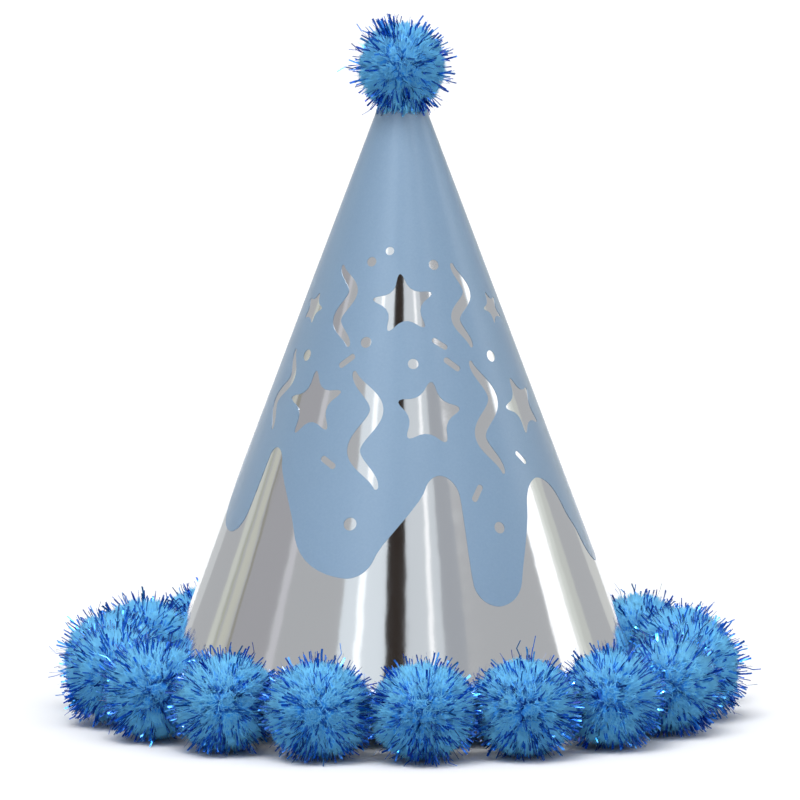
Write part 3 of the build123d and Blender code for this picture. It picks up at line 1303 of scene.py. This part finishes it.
@dataclass
class PomPom:
    """A tuft of plush and tinsel: a parted core, a pile of fibres, and flat strips that stand out of it."""

    node: str
    form: ConeForm
    seed: int
    ball_radius: float
    plush_radius: float = 14.8 * MM
    broad: float = 0.11
    lump_count: int = 7
    lump_height: float = 0.03
    clumps: int = 72
    clump_candidates: int = 6
    clump_tightness: float = 1.7
    core_divisions: int = 6
    core_reach: tuple[float, float] = (0.62, 0.22)
    # Where the core lies on the plush ramp: low in the partings, which gives them painted shade, and higher
    # in the clumps' middles.
    core_along: tuple[float, float] = (0.12, 0.45)
    fibres: int = 11500
    fibre_radius: float = 0.24 * MM
    fibre_variety: tuple[float, float] = (0.75, 1.25)
    fibre_taper: float = 0.8
    fibre_root: float = 0.55
    fibre_middle: float = 0.65
    fibre_scatter: float = 0.09
    end_scatter: float = 0.05
    parting_depth: float = 0.15
    lean: float = 0.44
    softness: float = 0.68
    strips: int = 390
    side_strips: int = 150
    side_spread: float = 0.52
    under_strips: int = 70
    under_way: tuple[float, float] = (0.8, 0.62)
    under_spread: float = 0.3
    bundles: tuple[tuple[float, float, float], ...] = ()
    bundle_strips: int = 26
    bundle_spread: float = 0.17
    strip_half_width: tuple[float, float] = (0.13 * MM, 0.36 * MM)
    strip_half_thickness: float = 0.016 * MM
    strip_reach: tuple[float, float] = (15.2 * MM, 18.4 * MM)
    strip_root: float = 0.6
    strip_scatter: float = 0.08
    strip_bend: float = 1.8 * MM
    strip_twist: float = 1.3
    strip_kink: float = 0.5 * MM
    calm_kink: float = 0.12
    stray_share: float = 0.03
    stray_reach: float = 3.0 * MM
    stray_bend: float = 2.2
    stray_width: float = 0.6
    floor_skin: float = 1.1 * MM
    wall_gap: float = 0.25 * MM
    most_pressed: float = 2.2 * MM

    def __post_init__(self) -> None:
        """Take the tuft's centre from its CAD ball, and start its own run of random numbers."""
        low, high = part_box(self.node)
        self.centre = np.array([(low[0] + high[0]) / 2, (low[1] + high[1]) / 2, high[2] - self.ball_radius])
        self.random = np.random.default_rng(self.seed)
        self.spots = self._spread(unit(self.random.normal(size=(self.clumps * self.clump_candidates, 3))))
        self.spacing = math.sqrt(4 * math.pi / self.clumps) / self.clump_tightness
        self.lumps = unit(self.random.normal(size=(self.lump_count, 3)))
        self.outwards = self.centre * [1, 1, 0] / max(float(np.linalg.norm(self.centre[:2])), TINY)
        self.beside = np.cross([0.0, 0.0, 1.0], self.centre * [1, 1, 0])
        self.beside = self.beside / max(float(np.linalg.norm(self.beside)), TINY)

    def _spread(self, spots: np.ndarray) -> np.ndarray:
        """Pick clump directions one by one, each the farthest of the candidates from those picked.

        Args:
            spots: Candidate directions.

        Returns:
            The picked ones.
        """
        picked = [0]
        nearest = spots @ spots[0]
        for _ in range(self.clumps - 1):
            far = int(np.argmin(nearest))
            picked.append(far)
            nearest = np.maximum(nearest, spots @ spots[far])
        return spots[picked]

    def _clump(self, ahead: np.ndarray) -> tuple[np.ndarray, np.ndarray, np.ndarray]:
        """Find the clump that each direction belongs to.

        Args:
            ahead: Directions from the tuft's centre.

        Returns:
            For each, its clump's direction, how far out from the clump's middle it is from 0 to 1, and its
            clump's shade.
        """
        close = ahead @ self.spots.T
        best = np.argmax(close, 1)
        first = close[np.arange(len(close)), best]
        close[np.arange(len(close)), best] = -1
        parting = np.arccos(np.clip(close.max(1), -1, 1)) - np.arccos(np.clip(first, -1, 1))
        edge = 1 - np.clip(parting / self.spacing, 0, 1)
        return self.spots[best], edge, (best * 0.618) % 1.0

    def _girth(self, ahead: np.ndarray) -> np.ndarray:
        """Return the plush's radius in each direction: uneven, and broader towards its neighbours."""
        uneven = self.lump_height * np.cos(3.0 * (ahead @ self.lumps.T)).sum(1) / math.sqrt(self.lump_count)
        return self.plush_radius * (1 + uneven + self.broad * (ahead @ self.beside) ** 2)

    def _settle(self, points: np.ndarray) -> np.ndarray:
        """Keep points above the table and off the card, pressing them flat instead of cutting them.

        Args:
            points: Places, one a row.

        Returns:
            The same places, those in the table or the card moved out of it.
        """
        out = points.copy()
        low = out[:, 2] < self.floor_skin
        out[low, 2] = self.floor_skin * np.exp(out[low, 2] / self.floor_skin - 1)
        reach = np.hypot(out[:, 0], out[:, 1])
        wall = self.form.wall_radius(out[:, 2]) + self.wall_gap / self.form.out
        open_tip = self.form.point_height - self.form.tip_radius / self.form.slope
        inside = (reach < wall) & (out[:, 2] < open_tip)
        out[inside, :2] *= (wall[inside] / np.maximum(reach[inside], 1e-6))[:, None]
        return out

    def _core(self) -> Strands:
        """Make the parted core under the pile.

        Returns:
            The core as one closed surface.
        """
        ahead, faces = ball_template(self.core_divisions)
        _, edge, shade = self._clump(ahead)
        least, more = self.core_reach
        reach = self._girth(ahead) * (least + more * np.sqrt(1 - edge**2))
        # The core takes the plush's painted shade in the partings and grows lighter towards each clump's
        # middle.
        low, span = self.core_along
        along = low + span * (1 - edge)
        uv = np.stack([along, shade * 0.6 + 0.2], 1)
        return Strands(self.centre + ahead * reach[:, None], faces, uv, ahead)

    def _pile(self) -> Strands:
        """Make the plush fibres, gathered into clumps at their ends.

        Returns:
            The fibres.
        """
        ahead = unit(self.random.normal(size=(self.fibres, 3)))
        clump, edge, shade = self._clump(ahead)
        scatter = self.fibre_scatter * self.random.normal(size=ahead.shape)
        end = unit(ahead + self.lean * (clump - ahead) + scatter)
        reach = self._girth(ahead)
        root = reach * self.fibre_root
        uneven = self.random.uniform(-self.end_scatter, self.end_scatter, self.fibres)
        tip = reach * (1.0 - self.parting_depth * edge**3 + uneven)
        middle = unit(0.45 * ahead + 0.55 * end) * (root + (tip - root) * self.fibre_middle)[:, None]
        centres = self.centre + np.stack([ahead * root[:, None], middle, end * tip[:, None]], 1)
        thick = self.fibre_radius * self.random.uniform(*self.fibre_variety, self.fibres)
        varied = np.clip(shade * 0.6 + self.random.uniform(0.0, 0.4, self.fibres), 0.01, 0.99)
        radii = np.stack([thick, thick * self.fibre_taper], 1)
        return Strands.fibres(centres, radii, across(end, self.random), varied)

    def _around(self, way: np.ndarray, spread: float, count: int) -> np.ndarray:
        """Return directions scattered round one way."""
        return unit(way + self.random.normal(0, spread, size=(count, 3)))

    def _strip_ways(self) -> np.ndarray:
        """Choose the strips' directions: in the partings, at the sides, below, and in the named bundles.

        Returns:
            One direction a row.
        """
        pool = unit(self.random.normal(size=(self.strips * 5, 3)))
        _, edge, _ = self._clump(pool)
        ways = [pool[np.argsort(-(edge + self.random.uniform(0, 0.6, len(pool))))[: self.strips]]]
        for way in (self.beside, -self.beside):
            ways.append(self._around(way, self.side_spread, self.side_strips))
        outward, down = self.under_way
        under = outward * self.outwards - np.array([0.0, 0.0, down])
        ways.append(self._around(under, self.under_spread, self.under_strips))
        for bundle in self.bundles:
            ways.append(self._around(np.array(bundle), self.bundle_spread, self.bundle_strips))
        return np.concatenate(ways)

    def _tinsel(self) -> Strands:
        """Make the film strips, rooted in the plush, bent and twisted, a few of them stray.

        Returns:
            The strips, without those that would lie pressed flat.
        """
        ahead = self._strip_ways()
        count = len(ahead)
        stray = (self.random.random(count) < self.stray_share)[:, None, None]
        reach = self.random.uniform(*self.strip_reach, count)[:, None, None]
        reach = reach + np.where(stray, self.stray_reach, 0)
        end = unit(ahead + self.random.normal(0, self.strip_scatter, size=ahead.shape))[:, None]
        bend = across(ahead, self.random)[:, None]
        bend = bend * self.random.uniform(0, self.strip_bend, count)[:, None, None]
        share = np.linspace(0, 1, 6)[None, :, None]
        start = ahead[:, None] * self.plush_radius * self.strip_root
        line = start + (end * reach - start) * share + bend * np.where(stray, self.stray_bend, 1.0) * share**2
        zigzag = np.array([0, 0, 0, 1, -1, 1])[None, :, None]
        kink = across(ahead, self.random)[:, None] * zigzag * self.strip_kink
        line = line + kink * np.where(stray, 1.0, self.calm_kink)
        side = across(ahead, self.random)
        other = np.cross(ahead, side)[:, None]
        twist = self.random.uniform(-self.strip_twist, self.strip_twist, count)[:, None, None] * share
        half = self.random.uniform(*self.strip_half_width, count)[:, None, None]
        half = half * np.where(stray, self.stray_width, 1.0)
        wide = (np.cos(twist) * side[:, None] + np.sin(twist) * other) * half
        thin = (np.cos(twist) * other - np.sin(twist) * side[:, None]) * self.strip_half_thickness
        shade = self.random.uniform(0.01, 0.99, count)
        line = self.centre + line
        moved = self._settle(line.reshape(-1, 3)).reshape(line.shape) - line
        free = np.linalg.norm(moved, axis=-1).max(1) < self.most_pressed
        return Strands.ribbons(line[free], wide[free], thin[free], shade[free])

    def _piece(self, kind: str, strands: Strands, normals: np.ndarray, finish: Finish) -> None:
        """Add one of the tuft's two pieces.

        Args:
            kind: The end of the piece's name.
            strands: Its shape before it is settled on the table and the card.
            normals: The directions to shade it by.
            finish: Its finish.
        """
        points = self._settle(strands.points)
        mesh = triangle_mesh(f"{self.node}_{kind}", points, strands.triangles, strands.uv, normals)
        mesh.materials.append(finish.material())
        add_piece(mesh, self.node)

    def build(self) -> None:
        """Build the plush and the tinsel as two pieces that stand for the CAD ball."""
        plush = Strands.together(self._core(), self._pile())
        soft = unit(plush.points - self.centre) * self.softness + plush.normals * (1 - self.softness)
        self._piece("plush", plush, unit(soft), PlushFinish())
        film = self._tinsel()
        self._piece("tinsel", film, film.normals, TinselFinish())


# ---------------------------------------------------------------- pieces kept from the CAD model


@dataclass(frozen=True)
class KeptPieces:
    """The pieces whose CAD shape is already right, given better finishes."""

    finishes: tuple[tuple[str, Finish], ...] = (
        ("seam_adhesive", FilmFinish()),
        ("tip_glue", GlueFinish()),
        ("brim_glue_beads", GlueFinish()),
        ("tip_tie", ThreadFinish()),
        ("brim_tie", ThreadFinish()),
    )

    def dress(self) -> None:
        """Give every kept node its finish."""
        for name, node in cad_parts.items():
            for start, finish in self.finishes:
                if name.startswith(start):
                    for slot in node.material_slots:
                        slot.material = finish.material()
                    log.info("%s keeps its CAD shape", name)


# ---------------------------------------------------------------- the studio


@dataclass(frozen=True)
class Panel:
    """A curved panel that the foil mirrors to the camera between two angles round the cone."""

    name: str
    foil_from: float
    foil_to: float
    colour: Colour
    strength: float = 1.0
    repeated: bool = False


@dataclass(frozen=True)
class Lamp:
    """A soft distant lamp: its strength, how wide it looks and where it stands, in degrees.

    azimuth is from the front towards +X. A lamp that isn't diffuse lights shiny surfaces only.
    """

    name: str
    strength: float
    spread: float
    azimuth: float
    elevation: float
    diffuse: bool = True


@dataclass
class Studio:
    """The floor, the light, the panels that the foil mirrors, and the camera."""

    form: ConeForm
    camera_distance: float = 2.5
    camera_elevation: float = 7.0
    camera_aim: tuple[float, float, float] = (-0.55 * MM, 0.0, 96.44 * MM)
    lens: float = 370.0
    floor_half: float = 40.0
    panel_distance: float = 1.6
    panel_rise: tuple[float, float] = (-0.17, 0.37)
    panel_columns: int = 8
    panel_gap: float = 0.01
    panel_turns: tuple[float, ...] = (0.0, 126.0, 234.0)
    turned_distance: float = 1.25
    sky: tuple[tuple[float, Colour], ...] = (
        (0.0, (1.0, 1.0, 1.0)), (0.006, (1.0, 1.0, 1.0)), (0.022, (0.46, 0.465, 0.475)),
        (0.75, (0.46, 0.465, 0.475)), (1.0, (0.62, 0.63, 0.64)),
    )
    lamps: tuple[Lamp, ...] = (
        Lamp("lamp_key", 1.85, 35.0, -28.0, 66.0),
        Lamp("lamp_fill", 0.7, 50.0, 40.0, 58.0),
        Lamp("lamp_spark", 2.5, 1.5, -52.0, 72.0, diffuse=False),
    )
    panels: tuple[Panel, ...] = (
        Panel("panel_far_left", -89.0, -73.5, srgb(206, 208, 209)),
        Panel("panel_edge_line", -60.8, -58.0, srgb(208, 210, 201)),
        Panel("panel_warm_line", -55.6, -52.9, srgb(200, 200, 188)),
        Panel("panel_thin_warm", -57.6, -56.6, srgb(176, 178, 160)),
        Panel("panel_thin_dark", -51.8, -50.2, srgb(150, 148, 138)),
        Panel("panel_left_grey", -50.2, -37.5, srgb(168, 167, 170)),
        Panel("panel_pale_line", -37.0, -34.6, srgb(204, 203, 207)),
        Panel("panel_left_white", -17.2, -4.7, srgb(228, 235, 240), repeated=True),
        Panel("panel_left_glare", -12.8, -10.8, srgb(250, 253, 255), 1.3, True),
        Panel("panel_dark", -4.7, 1.0, srgb(46, 38, 33), repeated=True),
        Panel("panel_right_white", 1.0, 11.2, srgb(212, 217, 221), repeated=True),
        Panel("panel_right_glare", 7.2, 8.6, srgb(255, 255, 255), 1.15, True),
        Panel("panel_centre_grey", 11.2, 17.0, srgb(168, 171, 176), repeated=True),
        Panel("panel_side_strip", 43.6, 51.4, srgb(255, 255, 255), 1.35),
        Panel("panel_strip_edge_near", 51.4, 53.0, srgb(238, 240, 234)),
        Panel("panel_strip_edge_mid", 53.0, 55.0, srgb(218, 221, 214)),
        Panel("panel_strip_edge_far", 55.0, 58.5, srgb(202, 204, 198)),
        Panel("panel_far_right", 72.0, 86.0, srgb(208, 209, 206)),
    )

    def __post_init__(self) -> None:
        """Work out where the camera stands."""
        tilt = math.radians(self.camera_elevation)
        self.behind = Vector((0.0, -math.cos(tilt), math.sin(tilt)))
        self.stand = Vector(self.camera_aim) + self.behind * self.camera_distance

    def mirrored(self, angle: float, rise: float) -> Vector:
        """Find what a point of the foil mirrors to the camera.

        Args:
            angle: Where the point is, in degrees from the front.
            rise: How far it is from the rim, along the slant.

        Returns:
            The mirrored place, at the panels' distance.
        """
        form, turn = self.form, math.radians(angle)
        reach = form.rim_radius - rise * form.up
        spot = Vector((reach * math.sin(turn), -reach * math.cos(turn), form.rim_height + rise * form.out))
        normal = Vector((form.out * math.sin(turn), -form.out * math.cos(turn), form.up))
        ray = (spot - self.stand).normalized()
        return spot + self.panel_distance * (ray - 2 * ray.dot(normal) * normal)

    def _panel(self, panel: Panel, number: int, turn: float) -> None:
        """Hang one panel, seen only in reflections; of two that cross, the later one hangs nearer.

        Args:
            panel: The panel.
            number: Its number in the row.
            turn: How far round the hat it is turned, in degrees.
        """
        nearer = (1 - self.panel_gap * number) * (self.turned_distance if turn else 1.0)
        points = [
            self.mirrored(float(angle), rise) * nearer
            for angle in np.linspace(panel.foil_from, panel.foil_to, self.panel_columns + 1)
            for rise in self.panel_rise
        ]
        faces = [(2 * k, 2 * k + 2, 2 * k + 3, 2 * k + 1) for k in range(self.panel_columns)]
        mesh = bpy.data.meshes.new(panel.name)
        mesh.from_pydata(points, [], faces)
        mesh.materials.append(PanelFinish(panel.name, panel.colour, panel.strength).material())
        made = bpy.data.objects.new(f"{panel.name}_{turn:.0f}", mesh)
        made.rotation_euler.z = math.radians(turn)
        bpy.context.scene.collection.objects.link(made)
        made.visible_camera = False
        made.visible_diffuse = False
        made.visible_shadow = False

    def _floor(self) -> None:
        """Lay the floor."""
        half = self.floor_half
        mesh = bpy.data.meshes.new("floor")
        corners = [(-half, -half, 0), (half, -half, 0), (half, half, 0), (-half, half, 0)]
        mesh.from_pydata(corners, [], [(0, 1, 2, 3)])
        mesh.materials.append(FloorFinish().material())
        floor = bpy.data.objects.new("floor", mesh)
        bpy.context.scene.collection.objects.link(floor)

    def _world(self) -> None:
        """Surround the hat with soft light, white at the horizon and grey above."""
        world = bpy.data.worlds.new("studio")
        world.use_nodes = True
        sheet = NodeSheet(world.node_tree)
        way = sheet.node("ShaderNodeTexCoord", result="Generated")
        height = sheet.node("ShaderNodeSeparateXYZ", None, {0: way}, 2)
        colour = sheet.ramp(height, list(self.sky))
        glow = sheet.node("ShaderNodeBackground", None, {"Color": colour, "Strength": 1.0})
        sheet.node("ShaderNodeOutputWorld", None, {"Surface": glow})
        bpy.context.scene.world = world

    @staticmethod
    def _lamp(lamp: Lamp) -> None:
        """Hang one lamp.

        Args:
            lamp: The lamp.
        """
        light = bpy.data.lights.new(lamp.name, "SUN")
        light.energy = lamp.strength
        light.angle = math.radians(lamp.spread)
        made = bpy.data.objects.new(lamp.name, light)
        turn, tilt = math.radians(lamp.azimuth), math.radians(lamp.elevation)
        way = Vector((math.sin(turn) * math.cos(tilt), -math.cos(turn) * math.cos(tilt), math.sin(tilt)))
        made.rotation_mode = "QUATERNION"
        made.rotation_quaternion = way.to_track_quat("Z", "Y")
        made.visible_diffuse = lamp.diffuse
        bpy.context.scene.collection.objects.link(made)

    def _camera(self) -> None:
        """Place the camera."""
        data = bpy.data.cameras.new("camera")
        data.lens = self.lens
        data.clip_end = 60.0
        camera = bpy.data.objects.new("camera", data)
        camera.location = self.stand
        camera.rotation_mode = "QUATERNION"
        camera.rotation_quaternion = self.behind.to_track_quat("Z", "Y")
        bpy.context.scene.collection.objects.link(camera)
        bpy.context.scene.camera = camera

    def build(self) -> None:
        """Set the studio up."""
        self._floor()
        self._world()
        for turn in self.panel_turns:
            for number, panel in enumerate(self.panels):
                if panel.repeated or not turn:
                    self._panel(panel, number, turn)
        for lamp in self.lamps:
            self._lamp(lamp)
        self._camera()
        bpy.context.scene.view_settings.view_transform = "Standard"


TIP_BUNDLES = (
    (-0.45, -0.35, 0.85), (-0.2, -0.6, 0.8), (0.55, -0.5, -0.7),
    (-0.45, -0.75, -0.6), (0.1, -0.8, -0.65),
)


def pom_poms(form: ConeForm) -> list[PomPom]:
    """Return the brim's tufts in order, and then the tip's.

    Args:
        form: The cone that they stand on.

    Returns:
        The tufts, not yet built.
    """
    brim = sorted(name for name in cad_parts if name.startswith("brim_pompom_"))
    tufts = [PomPom(node, form, 100 + number, ball_radius=15.4 * MM) for number, node in enumerate(brim)]
    tip = PomPom(
        "tip_pompom", form, 7, ball_radius=15.2 * MM, plush_radius=13.7 * MM, broad=0.0, strips=270,
        side_strips=0, under_strips=0, bundles=TIP_BUNDLES, strip_reach=(14.2 * MM, 17.4 * MM),
        stray_share=0.06,
    )
    return [*tufts, tip]


def main() -> None:
    """Build the hat's visible pieces around the CAD model, then the studio."""
    logging.basicConfig(level=logging.INFO, format="%(name)s: %(message)s")
    form = ConeForm.from_frame()
    FoilCard(form).build()
    IcingPrint(form).build()
    for tuft in pom_poms(form):
        tuft.build()
    KeptPieces().dress()
    Studio(form).build()


if __name__ == "__main__":
    main()
